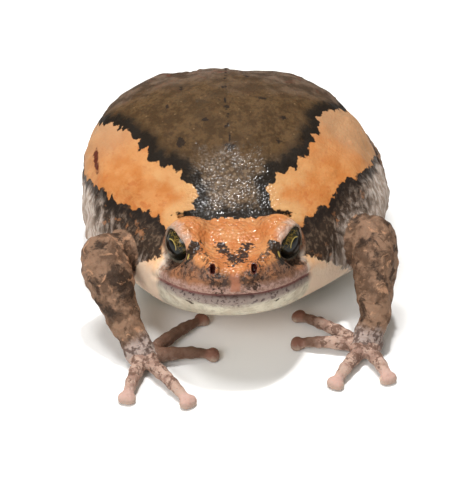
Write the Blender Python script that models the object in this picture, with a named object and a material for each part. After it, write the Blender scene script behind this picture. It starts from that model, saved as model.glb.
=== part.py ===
"""Asian painted frog, Kaloula pulchra: a life-size still model, puffed up and propped on its forelegs.

Sizes below are in millimetres in the frog's own frame: X to the frog's left, Y back from the tip of the
snout, Z up from the floor. Objects are built in metres, and the finished frog is centred over the origin.
"""
import math

import bmesh
import bpy
import numpy as np
from mathutils import Matrix, Vector

MM = 0.001
GAP = 0.3
# How finely a limb's cross-section is bent, and where the rings of its rounded ends stand.
LIMB_SIDES = 6
CAP_ANGLES = (1.3, 0.9, 0.45)

# The trunk, from snout to vent, as a lines plan. Each station gives the distance behind the snout, the
# height of the widest line, the rise above it and drop below it, the half-width, and how full the upper
# and the lower half are (2 is an ellipse, more is boxier).
STATIONS = [
    (0.0, 13.8, 0.0, 0.0, 0.0, 2.2, 2.0),
    (0.4, 13.8, 1.6, 2.0, 2.9, 2.2, 2.0),
    (1.7, 13.4, 2.8, 3.8, 5.4, 2.3, 2.1),
    (4.0, 12.6, 3.6, 5.4, 7.6, 2.4, 2.3),
    (7.0, 10.8, 5.5, 5.5, 9.4, 2.3, 2.7),
    (10.0, 9.5, 7.0, 5.5, 11.2, 2.15, 2.9),
    (13.0, 9.1, 8.3, 5.9, 13.8, 2.1, 2.8),
    (17.0, 9.4, 10.4, 7.4, 17.6, 2.1, 2.3),
    (21.0, 9.8, 13.2, 8.5, 20.9, 2.1, 2.3),
    (26.0, 10.6, 15.1, 10.5, 22.7, 2.15, 2.1),
    (32.0, 11.6, 15.6, 12.2, 22.9, 2.2, 1.8),
    (38.0, 12.8, 14.6, 13.5, 22.1, 2.3, 1.7),
    (44.0, 13.6, 12.7, 14.2, 20.2, 2.4, 1.6),
    (50.0, 13.0, 10.6, 13.0, 16.6, 2.3, 1.6),
    (55.5, 11.2, 8.3, 9.4, 11.6, 2.1, 2.0),
    (59.5, 10.5, 5.0, 6.2, 7.4, 2.0, 2.0),
    (61.5, 9.9, 2.3, 3.0, 3.4, 2.0, 2.0),
    (62.0, 9.8, 0.0, 0.0, 0.0, 2.0, 2.0),
]
# The upper back leans a little to the frog's right.
BACK_LEAN = 1.5
BACK_LEAN_HEIGHTS = (10.0, 24.0)
BACK_LEAN_RANGE = (15.0, 32.0)
HEAD_RINGS = 18
TORSO_RINGS = 22
TRUNK_SIDES = 40
NECK_POINT = Vector((0, 14.3, 11.0))
NECK_NORMAL = Vector((0, 0.97, 0.242)).normalized()

# The head: the mouth line runs back and down from the front of the lips to its corners.
MOUTH_FRONT_HEIGHT = 13.0
MOUTH_SLOPE = 0.24
MOUTH_DROOP = 0.006
MOUTH_CORNER = 9.6
LIP_STATIONS = [*np.linspace(MOUTH_CORNER, 1.2, 12), 0.75, 0.5]
LIP_OFFSET = 0.8
LIP_SWELL = 0.75
LIP_LEAST = 0.4
LIP_RISE = 0.24
LIP_TURN = 0.4
LIP_FRONT_REACH = 0.28
LIP_GROOVE = 0.30
LIP_GROOVE_LEAST = 0.16

EYE_CENTRE = (6.05, 9.7, 15.3)
EYE_RADIUS = 2.85
EYE_LOOK = (0.8, -0.6, 0.08)
LID_RADIUS = 3.4
LID_OPENING = (3.4, 2.9)
LID_OPENING_START = 0.55
LID_RIM_REACH = 2.85
LID_RIM_LAP = 0.15
UPPER_LID_RIM = 0.48
LOWER_LID_RIM = 0.3
NOSTRIL_CENTRE = (2.45, 1.6, 15.9)
NOSTRIL_SIZE = (0.32, 0.45, 0.55)

# Each foreleg: shoulder, elbow and wrist with the radius of the flesh there, the palm, and the tip of
# each finger from the innermost out. The frog's right side has negative X.
FORELEGS = {
    "right": {
        "joints": [(-11.5, 19.0, 7.0), (-18.4, 12.6, 11.3), (-14.5, 5.2, 4.4)],
        "palm": (-12.3, 2.9, 1.8),
        "tips": [(-4.5, 12.6, 0.6), (-2.6, 4.1, 0.6), (-5.7, -6.0, 0.55), (-13.8, -5.3, 0.55)],
    },
    "left": {
        "joints": [(12.0, 20.5, 6.6), (19.4, 16.2, 12.4), (19.0, 7.3, 4.6)],
        "palm": (17.6, 5.3, 1.8),
        "tips": [(8.8, 13.4, 0.6), (8.1, 6.6, 0.6), (12.8, -2.3, 0.55), (20.1, -1.3, 0.55)],
    },
}
SHOULDER_RADIUS = 2.9
ELBOW_RADIUS = 2.5
FOREARM_RADIUS = 3.05
WRIST_RADIUS = 1.9
WRIST_TAPER = 0.9
FULLEST_SHARE = 0.4
PALM_SIZE = (2.7, 2.2, 1.6)
FINGER_RADII = (0.95, 0.62)
FINGER_ROOT_REACH = 1.0
FINGER_ROOT_DROP = 0.6
KNUCKLE_RISE = 0.55
FINGERTIP_SIZE = (1.15, 0.95, 0.62)

# Each hind leg, for the frog's left side: hip, knee, ankle and the ball of the foot, then the toe tips.
HIND_JOINTS = [(10.5, 52.5, 9.8), (20.0, 34.8, 8.3), (16.4, 57.0, 4.6), (18.8, 47.5, 1.7)]
HAUNCH = (2.5, 2.4, 0.4)
THIGH_RADII = (5.2, 5.9, 4.2)
CALF = (1.2, 0.0, 0.3)
SHANK_RADII = (3.9, 3.8, 2.4)
TARSUS_RADII = (2.2, 1.9)
SOLE_SIZE = (2.6, 4.0, 1.7)
TOE_TIPS = [
    (14.6, 42.6, 0.55),
    (15.2, 38.4, 0.55),
    (18.2, 33.4, 0.55),
    (22.0, 30.6, 0.55),
    (23.4, 37.2, 0.55),
]
TOE_RADII = (0.95, 0.62)
TOE_RISE = 0.22
TOE_ROOT_REACH = 1.3
TOE_ROOT_DROP = 0.9
TOE_TIP_SIZE = (1.0, 0.85, 0.62)
# The digging spade stands on the inner edge of the sole.
SPADE_PLACE = (-2.3, 0.6, -0.9)
SPADE_SIZE = (1.6, 0.8, 0.8)

COLOURS = {
    "head": (0.56, 0.30, 0.14),
    "torso": (0.22, 0.13, 0.07),
    "limb": (0.27, 0.19, 0.14),
    "digit": (0.44, 0.27, 0.20),
    "eye": (0.02, 0.025, 0.015),
}
COLOUR_OF = {"head": "head", "torso": "torso", "eye": "eye", "hand": "digit", "foot": "digit"}
SKIN_ROUGHNESS = 0.45
EYE_ROUGHNESS = 0.08
SHARP_ANGLE = math.radians(40)


def clear_scene():
    for obj in list(bpy.data.objects):
        bpy.data.objects.remove(obj, do_unlink=True)


def material(name, colour, roughness):
    made = bpy.data.materials.new(name)
    made.use_nodes = True
    shader = made.node_tree.nodes["Principled BSDF"]
    shader.inputs["Base Color"].default_value = (*colour, 1.0)
    shader.inputs["Roughness"].default_value = roughness
    shader.inputs["Metallic"].default_value = 0.0
    return made


def metres(point):
    return Vector(point) * MM


def link(name, mesh, collection):
    obj = bpy.data.objects.new(name, mesh)
    collection.objects.link(obj)
    return obj


def smooth_line(points, per_span):
    """Points read from a Catmull-Rom curve through the given rows, per_span to each span."""
    rows = np.array(points, float)
    rows = np.vstack([2 * rows[0] - rows[1], rows, 2 * rows[-1] - rows[-2]])
    found = []
    for a, b, c, d in zip(rows[:-3], rows[1:-2], rows[2:-1], rows[3:]):
        for t in np.arange(per_span) / per_span:
            bend = 2 * a - 5 * b + 4 * c - d
            twist = 3 * b - a - 3 * c + d
            found.append(b + ((c - a) * t + bend * t**2 + twist * t**3) / 2)
    found.append(rows[-2])
    return np.array(found)


LINES = smooth_line(STATIONS, 8)
LINES[:, 2:5] = LINES[:, 2:5].clip(min=0.0)


def station(y):
    """The trunk's lines at one distance behind the snout."""
    return [np.interp(y, LINES[:, 0], LINES[:, k]) for k in range(1, 7)]


def side_of_trunk(y, z):
    """How far out the trunk's surface is at a height, at one distance behind the snout."""
    middle, rise, drop, width, full_up, full_down = station(y)
    reach, full = (rise, full_up) if z > middle else (drop, full_down)
    share = min(abs(z - middle) / max(reach, 1e-6), 0.98)
    return width * (1 - share**full) ** (1 / full)


def ramp(value, limits):
    """A smooth step from 0 to 1 between two limits."""
    t = min(max((value - limits[0]) / (limits[1] - limits[0]), 0.0), 1.0)
    return t * t * (3 - 2 * t)


def ring(y, sides):
    """One cross-section of the trunk, starting at the frog's left."""
    middle, rise, drop, width, full_up, full_down = station(y)
    points = []
    for k in range(sides):
        angle = 2 * math.pi * k / sides
        c, s = math.cos(angle), math.sin(angle)
        reach, full = (rise, full_up) if s > 0 else (drop, full_down)
        x = width * math.copysign(abs(c) ** (2 / full), c)
        z = middle + reach * math.copysign(abs(s) ** (2 / full), s)
        lean = BACK_LEAN * ramp(z, BACK_LEAN_HEIGHTS) * ramp(y, BACK_LEAN_RANGE)
        points.append((x - lean, y, z))
    return points


def loft(name, rings, first, last, collection):
    """A closed skin over rings of equal count, with a point at each end."""
    count = len(rings[0])
    points = [metres(first)] + [metres(p) for r in rings for p in r] + [metres(last)]
    faces = []
    for k in range(count):
        n = (k + 1) % count
        faces.append((0, 1 + n, 1 + k))
        for r in range(len(rings) - 1):
            a, b = 1 + r * count, 1 + (r + 1) * count
            faces.append((a + k, a + n, b + n, b + k))
        a = 1 + (len(rings) - 1) * count
        faces.append((a + k, a + n, len(points) - 1))
    mesh = bpy.data.meshes.new(name)
    mesh.from_pydata(points, [], faces)
    tidy_normals(mesh)
    return link(name, mesh, collection)


def tidy_normals(mesh):
    bm = bmesh.new()
    bm.from_mesh(mesh)
    bmesh.ops.recalc_face_normals(bm, faces=bm.faces)
    bm.to_mesh(mesh)
    bm.free()


def evaluated(obj):
    """A plain mesh of the object as its modifiers leave it, in world space."""
    graph = bpy.context.evaluated_depsgraph_get()
    mesh = bpy.data.meshes.new_from_object(obj.evaluated_get(graph))
    mesh.transform(obj.matrix_world)
    return mesh


def bake(obj):
    """Applies the object's modifiers and its placing."""
    bpy.context.view_layer.update()
    mesh = evaluated(obj)
    obj.modifiers.clear()
    obj.data = mesh
    obj.matrix_world = Matrix.Identity(4)
    return obj


def tube(name, path, radii, collection, resolution=3):
    """A round limb along a path of points in millimetres, with rounded ends."""
    path, radii = np.array(path, float), np.array(radii, float)
    rows, sizes = [], []
    for end, inward in ((0, 1), (-1, -2)):
        away = path[end] - path[inward]
        away /= np.linalg.norm(away)
        rows.append([path[end] + away * radii[end] * math.sin(a) for a in CAP_ANGLES])
        sizes.append([radii[end] * math.cos(a) for a in CAP_ANGLES])
    points = np.vstack([rows[0], path, rows[1][::-1]])
    widths = np.concatenate([sizes[0], radii, sizes[1][::-1]])
    curve = bpy.data.curves.new(name, "CURVE")
    curve.dimensions = "3D"
    curve.bevel_depth = MM
    curve.bevel_resolution = resolution
    curve.use_fill_caps = True
    spline = curve.splines.new("POLY")
    spline.points.add(len(points) - 1)
    for point, place, width in zip(spline.points, points, widths):
        point.co = (*metres(place), 1.0)
        point.radius = width
    obj = link(name, curve, collection)
    bpy.context.view_layer.update()
    mesh = evaluated(obj)
    bm = bmesh.new()
    bm.from_mesh(mesh)
    bmesh.ops.remove_doubles(bm, verts=bm.verts, dist=1e-6)
    bmesh.ops.recalc_face_normals(bm, faces=bm.faces)
    bm.to_mesh(mesh)
    bm.free()
    bpy.data.objects.remove(obj)
    return link(name, mesh, collection)


def ball(name, centre, size, collection, turn=None, segments=16, rings=10):
    """An ellipsoid of three half-sizes in millimetres, turned by a rotation matrix."""
    bpy.ops.mesh.primitive_uv_sphere_add(segments=segments, ring_count=rings, radius=1.0)
    obj = bpy.context.object
    for holder in obj.users_collection:
        holder.objects.unlink(obj)
    collection.objects.link(obj)
    obj.name = name
    turned = (turn or Matrix.Identity(3)).to_4x4()
    stretched = Matrix.Diagonal((*metres(size), 1.0))
    obj.matrix_world = Matrix.Translation(metres(centre)) @ turned @ stretched
    return bake(obj)


def facing(forward, upward=(0, 0, 1)):
    """A rotation whose X axis points forward and whose Z axis is as near as can be to upward."""
    x = Vector(forward).normalized()
    y = Vector(upward).cross(x).normalized()
    z = x.cross(y)
    return Matrix((x, y, z)).transposed()


def boolean(obj, others, operation, solver="MANIFOLD"):
    """Joins other objects to obj, or cuts them from it, and removes them."""
    held = bpy.data.collections.new("joined")
    bpy.context.scene.collection.children.link(held)
    for other in others:
        for holder in other.users_collection:
            holder.objects.unlink(other)
        held.objects.link(other)
    modifier = obj.modifiers.new("join", "BOOLEAN")
    modifier.operation = operation
    modifier.operand_type = "COLLECTION"
    modifier.collection = held
    modifier.solver = solver
    bake(obj)
    for other in others:
        bpy.data.objects.remove(other)
    bpy.data.collections.remove(held)
    return keep_largest(obj)


def keep_largest(obj):
    """Drops every closed surface but the one with the largest volume."""
    bm = bmesh.new()
    bm.from_mesh(obj.data)
    left, islands = set(bm.verts), []
    while left:
        found, edge = set(), [left.pop()]
        while edge:
            vert = edge.pop()
            found.add(vert)
            for other in (e.other_vert(vert) for e in vert.link_edges):
                if other in left:
                    left.discard(other)
                    edge.append(other)
        islands.append(found)
    islands.sort(key=volume_of)
    bmesh.ops.delete(bm, geom=[v for island in islands[:-1] for v in island], context="VERTS")
    bm.to_mesh(obj.data)
    bm.free()
    return obj


def volume_of(verts):
    """The volume inside a closed surface, from its vertices."""
    total = 0.0
    for face in {f for v in verts for f in v.link_faces}:
        corners = [v.co for v in face.verts]
        for b, c in zip(corners[1:-1], corners[2:]):
            total += corners[0].dot(b.cross(c)) / 6
    return total


def keep_side(obj, point, normal):
    """Keeps what lies on the side of a plane that its normal points to, and closes the cut."""
    bm = bmesh.new()
    bm.from_mesh(obj.data)
    everything = bm.verts[:] + bm.edges[:] + bm.faces[:]
    bmesh.ops.bisect_plane(
        bm, geom=everything, plane_co=metres(point), plane_no=Vector(normal), clear_inner=True, dist=1e-7
    )
    rim = [e for e in bm.edges if e.is_boundary]
    if rim:
        bmesh.ops.holes_fill(bm, edges=rim)
    bmesh.ops.recalc_face_normals(bm, faces=bm.faces)
    bm.to_mesh(obj.data)
    bm.free()
    return obj


def make_room(obj, room):
    """Cuts from obj what lies in the room left for the trunk."""
    cutter = link("cutter", room.data.copy(), room.users_collection[0])
    return boolean(obj, [cutter], "DIFFERENCE")


def part_line(before, joint, after):
    """The normal of the plane that halves the bend at a joint, pointing to the piece before it."""
    a = (Vector(before) - Vector(joint)).normalized()
    b = (Vector(after) - Vector(joint)).normalized()
    return (a - b).normalized()


def build_trunk(parts, tools):
    """The head and the torso, parted by a thin cut at the neck, and the room the limbs leave for them."""
    snout, vent = STATIONS[0][0], STATIONS[-1][0]
    neck = NECK_POINT.y
    opening = np.linspace(0, math.pi / 2, HEAD_RINGS + 1)[1:]
    closing = np.linspace(0, math.pi / 2, TORSO_RINGS + 2)[1:-1]
    ahead = snout + (neck - snout) * (1 - np.cos(opening))
    behind = neck + (vent - neck) * np.sin(closing)
    rings = [ring(y, TRUNK_SIDES) for y in np.concatenate([ahead, behind])]
    middle = (STATIONS[0][1], STATIONS[-1][1])
    torso = loft("torso", rings, (0, snout, middle[0]), (0, vent, middle[1]), parts)
    head = link("head", torso.data.copy(), parts)
    room = link("room", torso.data.copy(), tools)
    swell = room.modifiers.new("swell", "DISPLACE")
    swell.strength = GAP * MM
    swell.mid_level = 0.0
    bake(room)
    keep_side(torso, NECK_POINT + NECK_NORMAL * GAP / 2, NECK_NORMAL)
    keep_side(torso, (0, 0, 0), (0, 0, 1))
    return head, torso, room


def mouth_height(y):
    return MOUTH_FRONT_HEIGHT - MOUTH_SLOPE * y - MOUTH_DROOP * y * y


def lip_path(offset, depth):
    """Points from one corner of the mouth to the other, at an offset above the mouth line."""
    points = []
    for y in LIP_STATIONS:
        z = mouth_height(y) + offset
        points.append((side_of_trunk(y, z) - depth, y + depth * LIP_TURN, z))
    front = (0.0, points[-1][1] - LIP_FRONT_REACH, points[-1][2])
    mirrored = [(-x, y, z) for x, y, z in points[::-1]]
    return points + [front] + mirrored


def lid_rim(centre, look, tools):
    """The fleshy edge of the eyelids, thick above the eye and thin below it."""
    out = math.sqrt(LID_RADIUS**2 - LID_RIM_REACH**2)
    angles = np.linspace(-0.5 * math.pi, 1.5 * math.pi + LID_RIM_LAP, 22)
    path = []
    for angle in angles:
        around = look.col[1] * math.cos(angle) + look.col[2] * math.sin(angle)
        path.append(centre + look.col[0] * out + around * LID_RIM_REACH)
    widths = LOWER_LID_RIM + (UPPER_LID_RIM - LOWER_LID_RIM) * (1 + np.sin(angles)) / 2
    return tube("rim", path, widths, tools)


def tapered(count, full, least):
    """A radius for each point of a path, full in the middle and least at both ends."""
    share = np.sin(np.linspace(0, math.pi, count)) ** 0.5
    return least + (full - least) * share


def build_head(head, parts, tools):
    """Lips, mouth line, eyelids, eye sockets and nostrils on the head."""
    swells = []
    for offset in (LIP_OFFSET, -LIP_OFFSET):
        path = lip_path(offset, LIP_SWELL - LIP_RISE)
        swells.append(tube("lip", path, tapered(len(path), LIP_SWELL, LIP_LEAST), tools))
    for side in (-1, 1):
        centre = Vector((side * EYE_CENTRE[0], EYE_CENTRE[1], EYE_CENTRE[2]))
        look = facing((side * EYE_LOOK[0], EYE_LOOK[1], EYE_LOOK[2]))
        swells.append(ball("lid", centre, (LID_RADIUS,) * 3, tools, segments=20, rings=14))
        swells.append(lid_rim(centre, look, tools))
    boolean(head, swells, "UNION")
    keep_side(head, NECK_POINT - NECK_NORMAL * GAP / 2, -NECK_NORMAL)
    path = lip_path(0.0, 0.0)
    cuts = [tube("mouth", path, tapered(len(path), LIP_GROOVE, LIP_GROOVE_LEAST), tools, 2)]
    eyes = []
    for side, name in ((-1, "right"), (1, "left")):
        centre = Vector((side * EYE_CENTRE[0], EYE_CENTRE[1], EYE_CENTRE[2]))
        look = facing((side * EYE_LOOK[0], EYE_LOOK[1], EYE_LOOK[2]))
        cuts.append(ball("socket", centre, (EYE_RADIUS + GAP,) * 3, tools, segments=20, rings=14))
        opening = (LID_RADIUS, *LID_OPENING)
        outward = centre + look.col[0] * (LID_OPENING_START + LID_RADIUS)
        cuts.append(ball("opening", outward, opening, tools, look, 20, 14))
        nostril = (side * NOSTRIL_CENTRE[0], *NOSTRIL_CENTRE[1:])
        cuts.append(ball("nostril", nostril, NOSTRIL_SIZE, tools, segments=10, rings=8))
        eyes.append(ball("eye_" + name, centre, (EYE_RADIUS,) * 3, parts, look, 18, 12))
    boolean(head, cuts, "DIFFERENCE")
    return eyes


def build_digit(root, tip, radii, tip_size, rise, tools):
    """A finger or toe: a tapering tube with a raised knuckle and a widened, blunt tip."""
    root, tip = Vector(root), Vector(tip)
    knuckle = root.lerp(tip, 0.5) + Vector((0, 0, rise))
    path = smooth_line([root, knuckle, tip], 3)
    widths = np.linspace(radii[0], radii[1], len(path))
    pad = ball("pad", tip, tip_size, tools, facing((tip - root) * Vector((1, 1, 0))), 10, 6)
    return [tube("digit", path, widths, tools, 2), pad]


def build_foreleg(name, spec, room, parts, tools):
    """Upper arm, forearm and hand, parted at the elbow and the wrist."""
    shoulder, elbow, wrist = spec["joints"]
    path = smooth_line([shoulder, elbow], 4)
    widths = np.linspace(SHOULDER_RADIUS, ELBOW_RADIUS, len(path))
    upper = tube("upper_arm_" + name, path, widths, parts, LIMB_SIDES)
    belly = Vector(elbow).lerp(Vector(wrist), FULLEST_SHARE)
    path = smooth_line([elbow, belly, wrist], 4)
    fullness = (ELBOW_RADIUS, FOREARM_RADIUS, WRIST_RADIUS)
    widths = np.interp(np.linspace(0, 1, len(path)), (0, FULLEST_SHARE, 1), fullness)
    fore = tube("forearm_" + name, path, widths, parts, LIMB_SIDES)
    palm = Vector(spec["palm"])
    middle = (Vector(spec["tips"][1]) + Vector(spec["tips"][2])) / 2
    forward = facing((middle - palm) * Vector((1, 1, 0)))
    hand = ball("hand_" + name, palm, PALM_SIZE, parts, forward, 20, 12)
    pieces = [tube("wrist", [wrist, palm], (WRIST_RADIUS, WRIST_RADIUS * WRIST_TAPER), tools, 4)]
    for tip in spec["tips"]:
        toward = (Vector(tip) - palm) * Vector((1, 1, 0))
        root = palm + toward.normalized() * FINGER_ROOT_REACH - Vector((0, 0, FINGER_ROOT_DROP))
        pieces += build_digit(root, tip, FINGER_RADII, FINGERTIP_SIZE, KNUCKLE_RISE, tools)
    boolean(hand, pieces, "UNION")
    keep_side(hand, (0, 0, 0), (0, 0, 1))
    at_elbow = part_line(shoulder, elbow, wrist)
    at_wrist = part_line(elbow, wrist, palm)
    keep_side(upper, Vector(elbow) + at_elbow * GAP / 2, at_elbow)
    keep_side(fore, Vector(elbow) - at_elbow * GAP / 2, -at_elbow)
    keep_side(fore, Vector(wrist) + at_wrist * GAP / 2, at_wrist)
    keep_side(hand, Vector(wrist) - at_wrist * GAP / 2, -at_wrist)
    for piece in (upper, fore):
        make_room(piece, room)
    return [upper, fore, hand]


def build_hind_leg(name, side, room, parts, tools):
    """Thigh, shank and foot, folded beside the belly and parted at the knee and the ankle."""
    hip, knee, ankle, sole = [Vector((side * x, y, z)) for x, y, z in HIND_JOINTS]
    halfway = hip.lerp(knee, 0.5) + Vector((side * HAUNCH[0], *HAUNCH[1:]))
    path = smooth_line([hip, halfway, knee], 4)
    widths = np.interp(np.linspace(0, 1, len(path)), (0, 0.5, 1), THIGH_RADII)
    thigh = tube("thigh_" + name, path, widths, parts, LIMB_SIDES)
    calf = knee.lerp(ankle, FULLEST_SHARE) + Vector((side * CALF[0], *CALF[1:]))
    path = smooth_line([knee, calf, ankle], 4)
    widths = np.interp(np.linspace(0, 1, len(path)), (0, FULLEST_SHARE, 1), SHANK_RADII)
    shank = tube("shank_" + name, path, widths, parts, LIMB_SIDES)
    path = smooth_line([ankle, sole], 4)
    foot = tube("foot_" + name, path, np.linspace(*TARSUS_RADII, len(path)), parts, LIMB_SIDES)
    tips = [Vector((side * x, y, z)) for x, y, z in TOE_TIPS]
    ahead = (tips[3] - sole) * Vector((1, 1, 0))
    across = facing(ahead)
    pieces = [ball("sole", sole, (SOLE_SIZE[1], SOLE_SIZE[0], SOLE_SIZE[2]), tools, across, 20, 12)]
    spade = sole + Vector((side * SPADE_PLACE[0], *SPADE_PLACE[1:]))
    pieces.append(ball("spade", spade, SPADE_SIZE, tools, across, 12, 8))
    for tip in tips:
        toward = (tip - sole) * Vector((1, 1, 0))
        root = sole + toward.normalized() * TOE_ROOT_REACH - Vector((0, 0, TOE_ROOT_DROP))
        pieces += build_digit(root, tip, TOE_RADII, TOE_TIP_SIZE, TOE_RISE, tools)
    boolean(foot, pieces, "UNION")
    keep_side(foot, (0, 0, 0), (0, 0, 1))
    at_knee = part_line(hip, knee, ankle)
    at_ankle = part_line(knee, ankle, sole)
    keep_side(thigh, knee + at_knee * GAP / 2, at_knee)
    keep_side(shank, knee - at_knee * GAP / 2, -at_knee)
    keep_side(shank, ankle + at_ankle * GAP / 2, at_ankle)
    keep_side(foot, ankle - at_ankle * GAP / 2, -at_ankle)
    for piece in (thigh, shank, foot):
        make_room(piece, room)
    return [thigh, shank, foot]


def centre_over_origin(objects):
    """Moves the frog so that the middle of its box stands over the origin, through one parent."""
    corners = np.array([v.co for obj in objects for v in obj.data.vertices])
    low, high = corners.min(axis=0), corners.max(axis=0)
    frog = bpy.data.objects.new("asian_painted_frog", None)
    bpy.context.scene.collection.objects.link(frog)
    frog.location = (-(low[0] + high[0]) / 2, -(low[1] + high[1]) / 2, 0)
    for obj in objects:
        middle = sum((v.co for v in obj.data.vertices), Vector()) / len(obj.data.vertices)
        obj.data.transform(Matrix.Translation(-middle))
        obj.location = middle
        obj.parent = frog
    bpy.context.view_layer.update()


def paint(objects):
    """Gives each sub-part its own material."""
    for obj in objects:
        kind = obj.name.split("_")[0]
        group = COLOUR_OF.get(kind, "limb")
        roughness = EYE_ROUGHNESS if group == "eye" else SKIN_ROUGHNESS
        obj.data.materials.clear()
        obj.data.materials.append(material(obj.name, COLOURS[group], roughness))
        obj.data.shade_smooth()
        obj.data.set_sharp_from_angle(angle=SHARP_ANGLE)


def main():
    clear_scene()
    parts = bpy.data.collections.new("asian_painted_frog")
    tools = bpy.data.collections.new("tools")
    for collection in (parts, tools):
        bpy.context.scene.collection.children.link(collection)
    head, torso, room = build_trunk(parts, tools)
    nodes = [head, torso]
    nodes += build_head(head, parts, tools)
    for name, spec in FORELEGS.items():
        nodes += build_foreleg(name, spec, room, parts, tools)
    for name, side in (("right", -1), ("left", 1)):
        nodes += build_hind_leg(name, side, room, parts, tools)
    bpy.data.objects.remove(room)
    centre_over_origin(nodes)
    paint(nodes)


main()
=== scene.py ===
"""The looks of an Asian painted frog: one moulded skin over the whole body, and two wet eyes.

Shapes are in millimetres in the frog's own frame: X to its left, Y back from the tip of the snout and Z up
from the floor. They are filled into one distance field, which is meshed and then painted.
"""

import math

import bpy
import numpy as np
import openvdb
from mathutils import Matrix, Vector


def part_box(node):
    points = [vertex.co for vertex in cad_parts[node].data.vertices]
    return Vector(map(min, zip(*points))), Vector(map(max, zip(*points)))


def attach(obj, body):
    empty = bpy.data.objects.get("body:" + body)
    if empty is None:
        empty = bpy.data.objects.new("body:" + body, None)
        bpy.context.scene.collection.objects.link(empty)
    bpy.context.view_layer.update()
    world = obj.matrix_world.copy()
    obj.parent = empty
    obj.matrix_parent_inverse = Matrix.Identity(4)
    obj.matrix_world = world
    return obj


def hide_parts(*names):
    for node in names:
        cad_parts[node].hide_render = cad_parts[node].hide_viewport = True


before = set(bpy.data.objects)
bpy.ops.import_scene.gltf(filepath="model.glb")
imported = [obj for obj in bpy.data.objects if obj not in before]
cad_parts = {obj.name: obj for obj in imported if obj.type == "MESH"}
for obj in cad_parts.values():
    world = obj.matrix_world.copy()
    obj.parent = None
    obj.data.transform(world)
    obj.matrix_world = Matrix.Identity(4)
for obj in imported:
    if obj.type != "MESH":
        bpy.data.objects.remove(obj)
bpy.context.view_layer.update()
eye_low, eye_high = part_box("eye_left")

MM = 0.001
# The pitch of the distance field, how far from a surface it reaches, and the room it leaves round a solid.
STEP = 0.22
FAR = 3.0
MARGIN = 1.2
# The frog's frame is the shared frame, moved back by the distance from the snout to the middle of the box.
SHIFT = np.array((0.0, -27.47, 0.0))
SIDES = {"right": -1, "left": 1}
LEVEL = (1, 1, 0)

EYE_CENTRE = np.array((6.05, 9.7, 15.3))
EYE_RADIUS = 2.85
EYE_LOOK = np.array((0.797, -0.599, 0.079))
PUPIL_AXIS = np.array((0.76, -0.63, 0.08))
MOUND_RADIUS = 3.03
LID_SLANT = np.array((-0.154, -0.074, 0.985))
LID_OPENING = (math.radians(46), math.radians(55))
LID_RADIUS = 5.2
RIM_RADIUS, RIM_LIFT = 0.2, 0.17
ROLL_LIFT, ROLL_BEYOND = 0.2, 0.22
LIP_RADIUS, LIP_PROUD, LIP_LIFT = 0.75, 0.24, 0.8
NOSTRIL = (2.45, 1.6, 15.9)
# The head rolls about a line at NECK_HEIGHT, and the roll fades out along the neck.
HEAD_ROLL = math.radians(1.6)
HEAD_SIDESTEP = 0.3
NECK = (9.5, 18)
NECK_HEIGHT = 13


def unit(v):
    v = np.asarray(v, float)
    return v / np.linalg.norm(v)


# The trunk's stations: y, the middle's height, the rise above it and the drop below it, half the width,
# and how square the section is above and below.
STATIONS = [
    (0, 13.8, 0, 0, 0, 2.2, 2),
    (0.4, 13.8, 1.6, 2, 2.9, 2.2, 2),
    (1.7, 13.4, 2.8, 3.8, 5.4, 2.3, 2.1),
    (4, 12.6, 3.6, 5.4, 7.6, 2.4, 2.3),
    (7, 10.8, 5.5, 5.5, 9.4, 2.3, 2.7),
    (10, 9.5, 7, 5.5, 11.2, 2.15, 2.9),
    (13, 9.1, 8.3, 5.9, 13.8, 2.1, 2.8),
    (17, 9.4, 10.4, 7.4, 17.6, 2.1, 2.3),
    (21, 9.8, 13.2, 8.5, 20.9, 2.1, 2.3),
    (26, 10.6, 15.1, 10.5, 22.7, 2.15, 2.1),
    (32, 11.6, 15.6, 12.2, 22.9, 2.2, 1.8),
    (38, 12.8, 14.6, 13.5, 22.1, 2.3, 1.7),
    (44, 13.6, 12.7, 14.2, 20.2, 2.4, 1.6),
    (50, 13, 10.6, 13, 16.6, 2.3, 1.6),
    (55.5, 11.2, 8.3, 9.4, 11.6, 2.1, 2),
    (59.5, 10.5, 5, 6.2, 7.4, 2, 2),
    (61.5, 9.9, 2.3, 3, 3.4, 2, 2),
    (62, 9.8, 0, 0, 0, 2, 2),
]


def smooth_line(points, per_span):
    """Points read from a Catmull-Rom curve through the given rows."""
    rows = np.array(points, float)
    rows = np.vstack([2 * rows[0] - rows[1], rows, 2 * rows[-1] - rows[-2]])
    found = []
    for a, b, c, d in zip(rows[:-3], rows[1:-2], rows[2:-1], rows[3:]):
        square, cube = 2 * a - 5 * b + 4 * c - d, 3 * b - a - 3 * c + d
        for t in np.arange(per_span) / per_span:
            found.append(0.5 * (2 * b + (c - a) * t + square * t**2 + cube * t**3))
    found.append(rows[-2])
    return np.array(found)


LINES = smooth_line(STATIONS, 10)
LINES[:, 2:5] = LINES[:, 2:5].clip(min=0.0)


def station(y):
    """A station between the given ones, without its y."""
    return [np.interp(y, LINES[:, 0], LINES[:, k]) for k in range(1, 7)]


def ramp(v, low, high):
    t = np.clip((np.asarray(v, float) - low) / (high - low), 0, 1)
    return t * t * (3 - 2 * t)


def back_lean(y, z):
    return 1.5 * ramp(z, 10, 24) * ramp(y, 15, 32)


def section(y, angles):
    """The trunk's outline at y, from its middle, at angles above the left side."""
    c, s = np.cos(angles), np.sin(angles)
    _, rise, drop, width, full_up, full_down = station(y)
    power = 2 / np.where(s > 0, full_up, full_down)
    x = width * np.sign(c) * np.abs(c) ** power
    return x, np.where(s > 0, rise, drop) * np.sign(s) * np.abs(s) ** power


def side_of_trunk(y, z):
    middle, rise, drop, width, full_up, full_down = station(y)
    reach, full = (rise, full_up) if z > middle else (drop, full_down)
    share = min(abs(z - middle) / max(reach, 1e-6), 0.98)
    return width * (1 - share**full) ** (1 / full)


def roll_share(y):
    return 1 - ramp(y, *NECK)


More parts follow.
